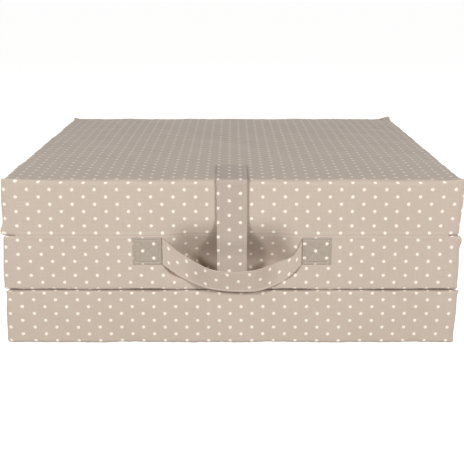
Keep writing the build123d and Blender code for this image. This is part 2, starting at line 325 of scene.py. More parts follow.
def welded(faces):
    """The faces of a box as one surface: its points once each, its quads, and the flat cloth at their
    corners."""
    stacked = np.concatenate([f[0] for f in faces])
    _, first, place = np.unique(np.round(stacked * 100).astype(np.int64), axis=0, return_index=True,
                                return_inverse=True)
    starts = np.cumsum([0] + [len(f[0]) for f in faces])
    quads = np.concatenate([place.ravel()[f[1] + s] for f, s in zip(faces, starts)])
    return stacked[first], quads, np.concatenate([f[2][f[1]] for f in faces])


def rounded_box(x, y, z, side, low_rim, high_rim):
    """A box with round rims and corners: each point is drawn in to a box smaller by the rim's radius and
    pushed out again by that radius, and the corners are turned round in plan in the same way. Gives the new
    x, y and z, the x and y of the level direction that faces out, and the level and upright shares of the
    surface's own direction."""
    far = np.maximum(np.abs(x), np.abs(y))
    radius = np.where(z > panel_height / 2, high_rim, low_rim)
    inner_far = np.minimum(far, panel_half - radius)
    inner_z = np.clip(z, low_rim, panel_height - high_rim)
    out_far, out_z = far - inner_far, z - inner_z
    reach = np.hypot(out_far, out_z)
    share = np.where(reach > 0, radius / np.maximum(reach, tiny), 1.0)
    plan = (inner_far + out_far * share) / np.maximum(far, tiny)
    px, py = x * plan, y * plan
    inner = panel_half - cover_corner
    inner_x, inner_y = np.clip(px, -inner, inner), np.clip(py, -inner, inner)
    dx, dy = px - inner_x, py - inner_y
    corner_reach = np.hypot(dx, dy)
    in_corner = corner_reach > 0
    safe_reach = np.maximum(corner_reach, tiny)
    turn = np.where(in_corner, np.maximum(np.abs(dx), np.abs(dy)) / safe_reach, 1.0)
    out_x = np.where(in_corner, dx / safe_reach, np.array([0.0, 0.0, 1.0, -1.0])[side])
    out_y = np.where(in_corner, dy / safe_reach, np.array([-1.0, 1.0, 0.0, 0.0])[side])
    return (inner_x + dx * turn, inner_y + dy * turn, inner_z + out_z * share, out_x, out_y,
            out_far * share / radius, out_z * share / radius)


def cloth_relief(x, y, z, side, ends, base, folds, low_seam, high_seam, front_swell):
    """How far the cloth of a filled cover stands out along its own direction: the swell of the foam, as a sum
    of sines, plus the puckers of the seams, fading as e to the minus square of the distance, less the grooves
    of the seams, the slot of the zip and the furrows beside the front corners."""
    far = np.maximum(np.abs(x), np.abs(y))
    across = np.minimum(np.abs(x), np.abs(y))
    on_wall = far > panel_half - touch
    # The cloth is held straight near a fold.
    hold = np.ones_like(x)
    for fold_side, fold_z in folds:
        gap = np.abs(z - fold_z)
        hold = np.where((side == fold_side) & (gap < 30.0), smooth((gap - 4.0) / 22.0), hold)

    along = across * np.where(side < 2, np.sign(x), np.sign(y))
    wall = np.sin(math.pi * np.clip(z / panel_height, 0, 1))
    swell = (
        0.45 * np.sin(x / 31.0 + 0.7 * np.sin(y / 47.0) + base) * np.sin(y / 37.0 + 1.3)
        + 0.30 * np.sin(x / 17.0 + y / 23.0 + z / 19.0 + 2.0 + base)
        + 0.25 * np.sin(along / 11.0 + z / 9.0 + 0.5 * base)
    )
    swell = swell * hold + 0.7 * wall * hold
    # The two fronts that meet when the mattress lies open are drawn flatter.
    swell = np.where((side == 0) & on_wall, swell * front_swell, swell)
    from_top = np.where(z >= panel_height, panel_half - far, panel_height - z)
    from_low = np.where(z <= 0.0, panel_half - far, z)
    near_seam = np.maximum(np.exp(-(from_top / seam_reach) ** 2) * high_seam,
                           np.exp(-(from_low / seam_reach) ** 2) * low_seam)
    pucker = np.sin(along / 2.3 + 2.2 * np.sin(along / 17.0) + side) * 0.28
    pucker = pucker + 0.18 * np.sin(along / 4.9 + 1.1)
    move = swell + pucker * near_seam * ends
    move = move - seam_depth * (on_wall & (z > panel_height - touch)) * high_seam
    move = move - seam_depth * (on_wall & (z < touch)) * low_seam

    # The slot of the zip in the left wall: its lips are turned in, and the cloth beside them stands proud.
    on_left = (side == 3) & on_wall
    zip_z = np.abs(z - panel_height / 2)
    slot = smooth((slot_half_height - zip_z) / 0.9) * smooth((slot_half_length - np.abs(y)) / 2.5) * on_left
    lip = smooth((zip_z - 3.4) / 0.8) * smooth((10.0 - zip_z) / 2.0)
    lip = lip * smooth((slot_half_length + 8.0 - np.abs(y)) / 6.0) * on_left
    move = move * (1.0 - slot) - slot_depth * slot + 0.45 * lip
    # The turned seam that joins the front cloth to each side wall shows as a fine furrow beside the corner.
    furrow = np.exp(-((panel_half - furrow_inset - across) / 0.9) ** 2)
    return move - 0.9 * furrow * ((side == 0) & on_wall)


def crown_share(t):
    """How much of the crown's rise is reached so far from the middle, along x or y: one less the 2.5th power
    of what is left of the crown's run from the edge."""
    return 1 - (1 - np.clip((panel_half - np.abs(t)) / crown_run, 0, 1)) ** 2.5


# The grid lines of a cover lie close together at its edges and at the zip, and 6 mm apart between.
edge_steps = np.array([0.0, 0.8, 1.6, 2.5, 3.5, 4.7, 6.2, 8.0, 10.5, 14.0, 18.0, 23.0, 29.0])
lines_x = np.concatenate([edge_steps - panel_half, np.linspace(-290.0, 290.0, 98),
                          (panel_half - edge_steps)[::-1]])
slot_ends = np.array([slot_half_length - 2.5, slot_half_length])
lines_y = np.unique(np.concatenate([lines_x, -slot_ends, slot_ends]).round(3))
wall_steps = np.concatenate([edge_steps[:11], [22.0, 26.5]])
zip_steps = np.array([0.0, 1.5, 3.0, 3.6, 4.3, 5.2, 6.2, 7.5, 9.0])
lines_z = np.unique(np.concatenate([wall_steps, panel_height / 2 - zip_steps, panel_height / 2 + zip_steps,
                                    panel_height - wall_steps]).round(3))


def cover_piece(panel, base, low_rims, high_rims, low_seams, high_seams, folds, gapes, rise, front_swell,
                ears, left_flare, right_flare, cloth_shift):
    """A filled cover: the rounded box, to which the relief of its cloth, the crown of its top, the gape of
    the slit, the ears and flare of its corners and the hollow behind the handle are added. Rims and seams
    are given for the front and the back, and are plain on the right and the left."""
    box, quads, flat = welded(box_faces(lines_x, lines_y, lines_z, cloth_shift))
    x, y, z = box.T
    across = np.minimum(np.abs(x), np.abs(y))
    side = np.where(np.abs(y) >= np.abs(x), np.where(y < 0, 0, 1), np.where(x > 0, 2, 3))
    # A side with a rim of its own meets the plain rims of its neighbours over the last centimetres.
    ends = smooth((panel_half - 9.0 - across) / 16.0)
    low_rim, high_rim = [open_rim + (np.array([*rims, open_rim, open_rim])[side] - open_rim) * ends
                         for rims in (low_rims, high_rims)]
    low_seam, high_seam = [np.array([*seams, 1, 1])[side] for seams in (low_seams, high_seams)]
    px, py, pz, out_x, out_y, level_share, upright_share = rounded_box(x, y, z, side, low_rim, high_rim)
    move = cloth_relief(x, y, z, side, ends, base, folds, low_seam, high_seam, front_swell)
    px = px + out_x * level_share * move
    py = py + out_y * level_share * move
    pz = pz + upright_share * move
    pz = pz + rise * (crown_share(x) * crown_share(y)) * (z >= panel_height - touch)
    pz = np.where(z < touch, np.maximum(pz, 0.0), pz)
    # The open slit at the front gapes, because the filled edges above and below it are a little rounded.
    open_front = smooth((-y - 298.0) / 24.0)
    low_lift = gapes[0] * smooth((slit_gape_height - z) / slit_gape_height)
    high_drop = gapes[1] * smooth((z - (panel_height - slit_gape_height)) / slit_gape_height)
    pz = pz + slit_gape * open_front * (low_lift - high_drop)

    # Ears are the points of cloth at the corners of a turned seam. Each has its place, its width and height,
    # and how far it stands out and up.
    for ear_x, ear_y, ear_z, wide, tall, out, up in ears:
        gap = np.sqrt(((x - ear_x) / wide) ** 2 + ((y - ear_y) / 6.0) ** 2 + ((z - ear_z) / tall) ** 2)
        pull = np.exp(-gap ** 2)
        px = px + np.sign(ear_x) * out * pull
        py = py + np.sign(ear_y) * out * 0.45 * pull
        pz = pz + up * pull
    # The filling pushes the front corners out sideways, by a flare's first value low and its second high.
    level = np.clip(z / panel_height, 0, 1)
    near_front = smooth((-290.0 - y) / 33.0)
    for hand, (low, high), start, run in ((-1, left_flare, 285.0, 40.0), (1, right_flare, 245.0, 80.0)):
        px = px + hand * (low + (high - low) * level) * smooth((hand * x - start) / run) * near_front
    py = py + pocket(x, z + base) * smooth((-y - 300.0) / 20.0)

    points = np.stack([px, py, pz + base], axis=1)
    piece = make_piece(f"{panel}_cover", [(points, quads, flat, 0)], [cover_cotton])
    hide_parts(f"{panel}_lower_sheet", f"{panel}_upper_sheet", f"{panel}_side_band")
    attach(piece, panel)


edge = panel_half
cover_piece(
    "bottom_panel", 0.0,
    low_rims=(open_rim, open_rim), high_rims=(slit_rims[0], fold_rim), low_seams=(1, 1),
    high_seams=(0.4, 0), folds=[(1, panel_height)], gapes=(0, 1), rise=0.0, front_swell=1.0,
    ears=[(-edge, -edge, panel_height, 6.0, 4.0, 2.5, 1.0), (edge, -edge, panel_height, 6.0, 5.0, 3.0, 1.5),
          (edge, -edge, 0.0, 6.0, 5.0, 2.0, 0.0)],
    left_flare=(5.0, 2.6), right_flare=(-1.0, 2.6),
    cloth_shift={"front": (2.6, -67.0), "top": (2.6, 7.0), "right": (5.0, 3.0), "left": (9.0, 3.0),
                 "back": (4.0, 6.0)},
)
cover_piece(
    "middle_panel", panel_pitch,
    low_rims=(slit_rims[1], fold_rim), high_rims=(fold_rim, open_rim), low_seams=(0.4, 0),
    high_seams=(0, 1), folds=[(0, panel_height), (1, 0.0)], gapes=(1, 0), rise=0.0, front_swell=0.1,
    ears=[(edge, -edge, panel_height - 7.0, 6.0, 7.5, 3.0, 0.0), (-edge, -edge, 0.0, 6.0, 4.0, 1.5, 0.0),
          (edge, -edge, 2.0, 6.0, 5.0, 1.5, 0.0)],
    left_flare=(5.2, 2.2), right_flare=(0.5, 1.0),
    cloth_shift={"front": (print_x, panel_pitch + print_z), "top": (3.0, 9.0), "right": (12.0, 8.0),
                 "left": (2.0, 8.0), "back": (8.0, 1.0)},
)
cover_piece(
    "top_panel", 2 * panel_pitch,
    low_rims=(fold_rim, open_rim), high_rims=(top_front_rim, open_rim), low_seams=(0, 1),
    high_seams=(0, 1), folds=[(0, 0.0)], gapes=(0, 0), rise=crown_rise, front_swell=0.1,
    ears=[(-edge, -edge, 7.0, 6.0, 8.0, 4.5, 0.0), (-edge, edge, panel_height, 9.0, 8.0, 0.5, 4.0),
          (edge, edge, panel_height, 17.0, 8.0, -1.0, 6.0), (-edge, -edge, panel_height, 60.0, 9.0, 0.0, 3.4),
          (edge, -edge, panel_height, 30.0, 9.0, 0.0, 2.0)],
    left_flare=(1.5, 1.0), right_flare=(-1.5, 3.6),
    cloth_shift={"front": (print_x, 2 * panel_pitch + print_z),
                 "top": (print_x, 2 * panel_pitch + panel_height + print_z + panel_half),
                 "right": (7.0, 5.0), "left": (14.0, 5.0), "back": (1.0, 2.0)},
)

# Foam cores: blocks cut from one soft polyurethane foam, one in each cover, with slightly rounded cut edges.
# The foam is pale yellow, open-celled and quite dull.
def mottled(name, low_code, high_code, pattern, output, inputs, relief=None, finish=(), **settings):
    """A finish whose tone runs between two colours after a pattern on the piece's own coordinates. The relief
    is the strength and depth of a bump after the same pattern, and the finish lists the surface's inputs."""
    material, tree = empty_material(name)
    spot = add(tree, "ShaderNodeTexCoord")
    grain = add(tree, pattern, [("Vector", spot.outputs["Object"]), *inputs], **settings)
    tone = add(tree, "ShaderNodeMix",
               [(0, grain.outputs[output]), (6, linear(low_code)), (7, linear(high_code))], data_type="RGBA")
    surface = add(tree, "ShaderNodeBsdfPrincipled", [("Base Color", tone.outputs[2]), *finish])
    if relief:
        bump = add(tree, "ShaderNodeBump",
                   [("Strength", relief[0]), ("Distance", relief[1]), ("Height", grain.outputs[output])])
        tree.links.new(bump.outputs[0], surface.inputs["Normal"])
    add(tree, "ShaderNodeOutputMaterial", [("Surface", surface)])
    return material


# Open cells, drawn at 1.4 mm, give the foam a fine, crumbly face.
foam = mottled("cut_polyurethane_foam", "#e9e2c4", "#f4efd9", "ShaderNodeTexVoronoi", "Distance",
               [("Scale", 700.0)], relief=(0.6, 0.0005), finish=[("Roughness", 0.95)])

core_half = panel_half - 8.0
core_height = panel_height - 7.0
core_rim = 6.0
core_edge = np.array([0.0, 1.2, 2.6, 4.2, 6.0])
core_plan = np.concatenate([core_edge - core_half, np.linspace(12.0 - core_half, core_half - 12.0, 62),
                            (core_half - core_edge)[::-1]])
core_tall = np.concatenate([core_edge, np.linspace(11.0, core_height - 11.0, 7),
                            (core_height - core_edge)[::-1]])
for level, panel in enumerate(panels):
    points, quads, flat = welded(box_faces(core_plan, core_plan, core_tall, {}))
    # Each point keeps its nearest point of a box smaller by the rim all round, and lies one rim away from it.
    inner_low = np.array([core_rim - core_half, core_rim - core_half, core_rim])
    nearest = np.clip(points, inner_low, -inner_low + np.array([0.0, 0.0, core_height]))
    away = points - nearest
    points = nearest + away * core_rim / np.maximum(np.linalg.norm(away, axis=1, keepdims=True), tiny)
    points[:, 2] += level * panel_pitch + (panel_height - core_height) / 2
    # The front of the foam follows the hollow behind the handle, and the push fades out over 60 mm inside it.
    points[:, 1] += pocket(points[:, 0], points[:, 2]) * smooth((-points[:, 1] - 200.0) / 60.0)
    core = make_piece(f"{panel}_foam", [(points, quads, flat, 0)], [foam])
    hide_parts(f"{panel}_foam_core")
    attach(core, panel)


# Fold strips: where two panels are joined, the cloth runs across from one to the other and is pinched by the
# seam.
def tube_quads(stations, count):
    """The quads of a closed bar, whose points are counted station by station, count to each: a lattice whose
    last column is its first again, and both ends closed by quads across the thickness."""
    station, column = np.divmod(lattice(stations, count + 1), count + 1)
    walls = station * count + column % count
    k = np.arange(count // 2 - 1)
    cap = np.stack([k, k + 1, count - 2 - k, count - 1 - k], axis=1)
    return np.concatenate([walls, cap, (cap + (stations - 1) * count)[:, ::-1]])


def coordinates(*parts):
    """Points from their coordinates, where one number may stand for all points."""
    return np.stack(np.broadcast_arrays(*parts), axis=-1)


strip_half = 6.0
strip_length_half = panel_half - 16.0
strip_thickness = 0.35
for name, face, z_fold, node, body_a, body_b, shift in (
    ("front_fold_strip", -panel_half, 2 * panel_pitch - half_gap, "front_fold_seam", "middle_panel",
     "top_panel", (print_x, print_z)),
    ("back_fold_strip", panel_half, panel_pitch - half_gap, "back_fold_seam", "bottom_panel",
     "middle_panel", (8.0, 6.0)),
):
    # Across the fold: flush with the faces at both edges, a little proud beside the fold, and pinched in it.
    rise = np.linspace(-1, 1, 25)
    proud = 0.42 * (1 - rise ** 4) - 0.42 * np.exp(-(rise / 0.16) ** 2) - 0.12
    along_x = np.linspace(-strip_length_half, strip_length_half, 160)
    sign = np.sign(face)
    wobble = 0.12 * np.sin(along_x / 9.0) + 0.1 * np.sin(along_x / 23.0 + 1.0)
    strip_x, strip_rise = np.meshgrid(along_x, rise, indexing="ij")
    fade = smooth((strip_length_half - np.abs(strip_x)) / 8.0)
    lift = (proud[None, :] + wobble[:, None] * (1 - strip_rise ** 2)) * fade - 0.3 * (1 - fade)
    drawn = pocket(strip_x, z_fold + strip_half * strip_rise) if sign < 0 else 0.0 * strip_x
    outer = coordinates(strip_x, face + sign * lift + drawn, z_fold + strip_half * strip_rise)
    inner = coordinates(strip_x, face + sign * (np.minimum(lift, 0.0) - strip_thickness) + drawn,
                        z_fold + (strip_half - 0.3) * strip_rise)
    rows, columns = strip_x.shape
    points = np.concatenate([outer, inner[:, ::-1]], axis=1).reshape(-1, 3)
    quads = tube_quads(rows, 2 * columns)
    if sign > 0:
        quads = quads[:, ::-1]
    flat = (points[:, [0, 2]] + np.array(shift))[quads]
    strip = make_piece(name, [(points, quads, flat, 0)], [cover_cotton])
    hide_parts(node)
    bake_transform(strip)


# Carry handle: a band of the same cotton, folded double and stitched along both edges. Its two ends lie flat
# on the middle panel, held by a square of stitching with a cross in it. Between them the band hangs in a
# loose curve and leans out at its upper edge, because the closing strap passes behind it.
handle_half_span = 100.5
handle_width = 40.0
handle_thickness = 1.6
handle_hem = 0.35
handle_margin = 3.4
patch_length = 41.5
patch_top = 2 * panel_pitch - half_gap - 2.0
patch_bottom = patch_top - handle_width
station_shares = np.array([-1.0, -0.72, -0.44, -0.1, 0.25, 0.57, 0.8, 0.94, 1.0])
top_sags = 44.0 * np.array([0.0, 0.55, 0.84, 1.01, 0.98, 0.87, 0.71, 0.4, 0.05])
bottom_sags = 37.0 * np.array([0.0, 0.54, 0.82, 0.97, 1.0, 0.88, 0.56, 0.2, 0.0])
top_reach = 21.0
bottom_reach = 13.0
flat_from = 72.5
leaning_run = 46.0
stitch_pitch = 3.4
thread_sink = 0.15
cloth_clearance = 0.3

handle_cotton = printed_cotton("printed_cotton_handle", "#cfbfb1", "#c4b4a6")
# The patches' cotton is painted darker than the band's: painted shade of the creases in their stitched
# fields.
patch_cotton_painted_shade = printed_cotton("printed_cotton_patch_painted_shade", "#bbafa2", "#aca093")
# The thread is spun polyester, soft and barely shiny, with the twist of its plies drawn at 0.7 mm.
thread = mottled("spun_polyester_thread", "#c9bcac", "#ece2d6", "ShaderNodeTexWave", "Fac",
                 [("Scale", 900.0)], finish=[("Roughness", 0.6), ("Sheen Weight", 0.2)],
                 bands_direction="DIAGONAL")


def through(known, values, wanted):
    """The natural cubic spline: its bends at the known places solve the usual three-term rows, and between
    two places the curve is the straight line plus the cubic terms of those bends."""
    step = np.diff(known)
    size = len(known)
    rows = np.zeros((size, size))
    right = np.zeros(size)
    rows[0, 0] = rows[-1, -1] = 1.0
    inner = np.arange(1, size - 1)
    rows[inner, inner - 1] = step[:-1]
    rows[inner, inner] = 2 * (step[:-1] + step[1:])
    rows[inner, inner + 1] = step[1:]
    right[1:-1] = 6 * np.diff(np.diff(values) / step)
    bends = np.linalg.solve(rows, right)
    k = np.clip(np.searchsorted(known, wanted) - 1, 0, size - 2)
    a = (known[k + 1] - wanted) / step[k]
    b = 1 - a
    return (a * values[k] + b * values[k + 1]
            + ((a ** 3 - a) * bends[k] + (b ** 3 - b) * bends[k + 1]) * step[k] ** 2 / 6)


def unit(directions):
    """Each direction divided by its length."""
    return directions / np.linalg.norm(directions, axis=1, keepdims=True)


def run_along(line):
    """How far along a line each of its points lies: the running sum of its steps."""
    return np.concatenate([[0], np.cumsum(np.linalg.norm(np.diff(line, axis=0), axis=1))])


def swept(centres, sides, normals, outline, cloth_along, cloth_across, number=0):
    """A closed bar: the outline's points, given as shares along each station's side and lift along its
    normal, are carried along the centres. One side or normal may stand for all stations. The faces look
    outwards whichever way the side and the normal lie to the run of the bar."""
    stations, count = len(centres), len(outline[0])
    reach, lift = outline
    sides, normals = np.broadcast_to(sides, (stations, 3)), np.broadcast_to(normals, (stations, 3))
    points = (centres[:, None, :] + reach[None, :, None] * sides[:, None, :]
              + lift[None, :, None] * normals[:, None, :]).reshape(-1, 3)
    quads = tube_quads(stations, count)
    if np.dot(np.cross(centres[1] - centres[0], sides[0]), normals[0]) < 0:
        quads = quads[:, [0, 3, 2, 1]]
    across = cloth_across + reach[None, :] * np.linalg.norm(sides, axis=1)[:, None]
    return points, quads, coordinates(cloth_along[:, None], across).reshape(-1, 2)[quads], number


def strap_outline(thickness, width=0.0, hem=0.0, sewn_at=0.0, steps=14):
    """The outline of a flat strap, once round: shares of its width over one face, then back over the other.
    Both edges are rounded. With a hem, the outer face rises beside each edge and dips along the sewn line."""
    share = np.linspace(-0.5, 0.5, steps)
    from_edge = (0.5 - np.abs(share)) * max(width, 1.0)
    thin = 0.45 + 0.55 * smooth(from_edge / (thickness * 0.6)) if width else np.where(from_edge > 0, 1.0, 0.5)
    raised = hem * smooth((sewn_at + 2.0 - from_edge) / 2.0)
    raised = raised - 1.6 * hem * np.exp(-((from_edge - sewn_at) / 0.8) ** 2)
    front = thickness / 2 * thin + raised * thin
    back = -thickness / 2 * thin
    return np.concatenate([share, share[::-1]]), np.concatenate([front, back[::-1]])


def stitches(centres, directions, normals, length=2.6, width=0.55, height=0.38, number=1):
    """A row of stitches, each a small lens: four rings of four points along its length, closed at both ends.
    One direction or normal may stand for all of them."""
    directions = np.broadcast_to(directions, centres.shape)
    normals = np.broadcast_to(normals, centres.shape)
    ring = np.array([[-0.5, 0.0], [0.0, 1.0], [0.5, 0.0], [0.0, -0.6]])
    places = np.array([-0.5, -0.3, 0.3, 0.5])
    sizes = np.array([0.35, 1.0, 1.0, 0.35])
    across = np.cross(directions, normals)
    local = coordinates(np.repeat(places, 4) * length, (sizes[:, None] * ring[None, :, 0]).ravel() * width,
                        (sizes[:, None] * ring[None, :, 1]).ravel() * height)
    points = (centres[:, None, :] + local[None, :, 0, None] * directions[:, None, :]
              + local[None, :, 1, None] * across[:, None, :] + local[None, :, 2, None] * normals[:, None, :])
    quads = tube_quads(4, 4)[None, :, [0, 3, 2, 1]] + 16 * np.arange(len(centres))[:, None, None]
    quads = quads.reshape(-1, 4)
    return points.reshape(-1, 3), quads, np.zeros((len(quads), 4, 2)), number


def edge_stitching(line, sides, normals, width, thickness, margin, start):
    """The two rows of stitches of a strap, each one margin in from an edge, at even steps along its line."""
    rows = []
    for share in (-0.5 + margin / width, 0.5 - margin / width):
        path = line + sides * share + normals * (thickness / 2 - thread_sink)
        run = run_along(path)
        at = np.arange(start, run[-1] - 1.0, stitch_pitch)
        centres = coordinates(*[np.interp(at, run, path[:, k]) for k in range(3)])
        lifted = coordinates(*[np.interp(at, run, normals[:, k]) for k in range(3)])
        rows.append(stitches(centres, unit(np.gradient(centres, axis=0)), unit(lifted)))
    return rows


def band_surface(places):
    """Where the band lies at each share of its half span: the middle line, the side from its lower to its
    upper edge, and the direction that faces out. Its edges sag after a spline through listed stations, and
    lean out by a soft step that starts where the band leaves the panel."""
    x = places * (handle_half_span - 0.9)
    rest = -panel_half - cloth_clearance - handle_thickness / 2
    bulge = smooth((flat_from - np.abs(x)) / leaning_run)
    upper = coordinates(x, rest - top_reach * bulge, patch_top - through(station_shares, top_sags, places))
    lower = coordinates(x, rest - bottom_reach * bulge,
                        patch_bottom - through(station_shares, bottom_sags, places))
    middle = (upper + lower) / 2
    side = upper - lower
    return middle, side, unit(np.cross(np.gradient(middle, axis=0), side))


# The band is three pieces: the grip turns with the handle, and a short turn at each end bends to it from the
# panel.
stations = 161
turn_stations = 24
middle, side, out = band_surface(np.linspace(-1.0, 1.0, stations))
lengths = run_along(middle)
outline = strap_outline(handle_thickness, handle_width, handle_hem, handle_margin, steps=48)
for name, pick, sign in (
    ("carry_handle_left_turn", slice(0, turn_stations), -1),
    ("carry_handle_grip", slice(turn_stations - 1, stations - turn_stations + 1), 0),
    ("carry_handle_right_turn", slice(stations - turn_stations, stations), 1),
):
    bar = swept(middle[pick], side[pick], out[pick], outline, lengths[pick] + 4.0, 20.0)
    seams = edge_stitching(middle[pick], side[pick], out[pick], handle_width, handle_thickness, handle_margin,
                           1.5)
    part = make_piece(name, [bar, *seams], [handle_cotton, thread])
    if sign:
        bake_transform(part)
    else:
        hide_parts("carry_handle_band")
        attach(part, "carry_handle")
        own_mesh(part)

# Handle ends: the squares of the band that lie flat, with the sewn box and its cross. The stitching draws the
# cloth down along its lines, so the field inside it puffs up and creases a little. Their cloth is painted
# darker than the band's, as painted shade of these creases.
half_length, half_width = patch_length / 2, handle_width / 2
sewn_x, sewn_z = half_length - handle_margin, half_width - handle_margin
cross_slope = sewn_z / sewn_x
patch_back = 0.05
patch_stitch_pitch = 3.1
for name, node, sign in (("carry_handle_left_end", "left_handle_patch", -1),
                         ("carry_handle_right_end", "right_handle_patch", 1)):
    centre_x = sign * (handle_half_span + half_length)
    centre_z = (patch_top + patch_bottom) / 2
    a, b = np.meshgrid(np.linspace(-0.5, 0.5, 74) * patch_length, np.linspace(-0.5, 0.5, 72) * handle_width,
                       indexing="ij")
    box_gap = np.abs(np.maximum(np.abs(a) - sewn_x, np.abs(b) - sewn_z))
    cross_gap = np.minimum(np.abs(b - cross_slope * a), np.abs(b + cross_slope * a))
    cross_gap = cross_gap / math.hypot(1, cross_slope)
    inside = smooth((sewn_x - np.abs(a)) / 2.0) * smooth((sewn_z - np.abs(b)) / 2.0)
    edge_gap = np.minimum(half_length - np.abs(a), half_width - np.abs(b))
    sewn = 0.85 * np.exp(-(box_gap / 0.9) ** 2) + 0.4 * np.exp(-(cross_gap / 1.0) ** 2) * inside
    creases = 0.16 * np.sin(a / 1.9 + b / 5.0) * np.sin(b / 2.6 - a / 7.0)
    puff = 0.3 * smooth(cross_gap / 6.0) * inside + creases
    height = (handle_thickness + puff - sewn) * (0.45 + 0.55 * smooth(edge_gap / 0.9))
    front = coordinates(a + centre_x, -panel_half - height, b + centre_z).reshape(-1, 3)
    back = coordinates(a + centre_x, -panel_half - patch_back, b + centre_z).reshape(-1, 3)
    rows, columns = a.shape
    count = a.size
    number = np.arange(count).reshape(rows, columns)
    rim = np.concatenate([number[:-1, 0], number[-1, :-1], number[:0:-1, -1], number[0, :0:-1]])
    after = np.roll(rim, -1)
    rim_quads = np.stack([rim, rim + count, after + count, after], axis=1)
    quads = np.concatenate([lattice(rows, columns), lattice(rows, columns, True) + count, rim_quads])
    points = np.concatenate([front, back])
    flat = (points[:, [0, 2]] + np.array([print_x + sign * 3.0, print_z + 5.0]))[quads]
    patches = [(points, quads, flat, 0)]
    corners = [(-sewn_x, -sewn_z), (sewn_x, -sewn_z), (sewn_x, sewn_z), (-sewn_x, sewn_z)]
    sides = list(zip(corners, corners[1:] + corners[:1]))
    for (x0, z0), (x1, z1) in [*sides, (corners[0], corners[2]), (corners[3], corners[1])]:
        span = math.hypot(x1 - x0, z1 - z0)
        count = int(span // patch_stitch_pitch)
        at = (np.arange(count) + 0.5) / count
        line = coordinates(centre_x + x0 + (x1 - x0) * at, -panel_half - handle_thickness + 0.65,
                           centre_z + z0 + (z1 - z0) * at)
        direction = [(x1 - x0) / span, 0.0, (z1 - z0) / span]
        patches.append(stitches(line, direction, [0.0, -1.0, 0.0], length=2.3))
    end = make_piece(name, patches, [patch_cotton_painted_shade, thread])
    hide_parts(node)
    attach(end, "middle_panel")
    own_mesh(end)

# Closing strap: a doubled strip of the cotton with turned, stitched edges. It is sewn flat on the top panel,
# bends down over the front edge and hangs behind the handle. Its hidden end carries a strip of woven hooks.
strap_width = 43.0
strap_thickness = 1.6
strap_hem = 0.4
strap_margin = 3.2
tongue_thickness = 1.0
tape_thickness = 0.8
strap_face = (-panel_half - cloth_clearance - tongue_thickness - cloth_clearance - tape_thickness
              - strap_thickness / 2)
strap_bottom = panel_pitch + 3.5
strap_start = -235.0
strap_bend = 4.2
tuck_depth = 5.0
dot_row_height = 173.4
top_height = 2 * panel_pitch + panel_height
# The strap's cotton is painted darker than the cover's: painted shade of the hollow it hangs in.
strap_cotton_painted_shade = printed_cotton("printed_cotton_strap_painted_shade", "#c4b5a9", "#b9aa9e")


def tucked(z):
    """How far the lower part of the strap leans in towards the hollow behind the handle."""
    return tuck_depth * smooth((160.0 - z) / 30.0) * smooth((z - 83.0) / 14.0)


# The strap's line from its sewn end: along the crown, round the edge on an arc, and down in a light bow.
on_top_y = np.linspace(strap_start, strap_face + strap_bend + 2.0, 40)
on_top_z = top_height + crown_rise * crown_share(on_top_y) + strap_thickness / 2 + 0.25
on_top = coordinates(on_top_y, on_top_z)
arc_centre = np.array([strap_face + strap_bend, on_top_z[-1] - strap_bend])
turn_angles = np.linspace(math.pi / 2, math.pi, 14)
arc = arc_centre + strap_bend * coordinates(np.cos(turn_angles), np.sin(turn_angles))
hang_z = np.linspace(arc[-1, 1] - 1.2, strap_bottom, 110)
hang_bow = 0.3 * smooth((arc[-1, 1] - hang_z) / 34.0) * smooth((hang_z - 132.0) / 40.0)
hang = coordinates(strap_face - hang_bow + tucked(hang_z), hang_z)
line = np.concatenate([on_top, arc, hang])
tangent = unit(np.gradient(line, axis=0))
strap_line = coordinates(0.0, line[:, 0], line[:, 1])
strap_out = coordinates(0.0, tangent[:, 1], -tangent[:, 0])
strap_side = np.tile([-strap_width, 0.0, 0.0], (len(line), 1))
strap_run = run_along(strap_line)
outline = strap_outline(strap_thickness, strap_width, strap_hem, strap_margin, steps=52)
# The strap is parted just below its bend. The hanging part turns on its own.
split = len(on_top) + len(arc) + 2
dot_row = strap_run[np.argmin(np.abs(strap_line[:, 2] - dot_row_height))]
for name, pick in (("closing_strap_sewn_end", slice(0, split + 1)),
                   ("closing_strap_hanging_part", slice(split, None))):
    points, quads, flat, number = swept(strap_line[pick], strap_side[pick], strap_out[pick], outline,
                                        strap_run[pick], 0.0)
    # On this piece the cloth's width runs across the strap, so its two coordinates change places.
    flat = coordinates(-flat[..., 1] + 3.9, -(flat[..., 0] - dot_row))
    seams = edge_stitching(strap_line[pick], strap_side[pick], strap_out[pick], strap_width, strap_thickness,
                           strap_margin, 1.7)
    strap = make_piece(name, [(points, quads, flat, number), *seams], [strap_cotton_painted_shade, thread])
    if name == "closing_strap_sewn_end":
        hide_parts("closing_strap_end")
        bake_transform(strap)
    else:
        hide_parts("closing_strap_flap")
        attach(strap, "closing_strap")
        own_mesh(strap)

# Hook tape and loop tongue: the two halves of the touch fastener, hidden behind the handle. The hooks are
# woven nylon sewn on the strap, dull and darker, drawn at 1.6 mm. The tongue of brushed nylon loops is sewn
# into the front seam of the bottom panel, and is soft and paler, its loops drawn at 1.1 mm.
hooks, loops = [
    mottled(name, low_code, high_code, "ShaderNodeTexVoronoi", "Distance", [("Scale", scale)],
            relief=(0.8, 0.0006), finish=[("Roughness", 0.7), ("Sheen Weight", 0.3)])
    for name, low_code, high_code, scale in (("woven_nylon_hooks", "#cdbfae", "#b5a797", 620.0),
                                             ("brushed_nylon_loops", "#d6c9b9", "#c2b4a3", 900.0))
]

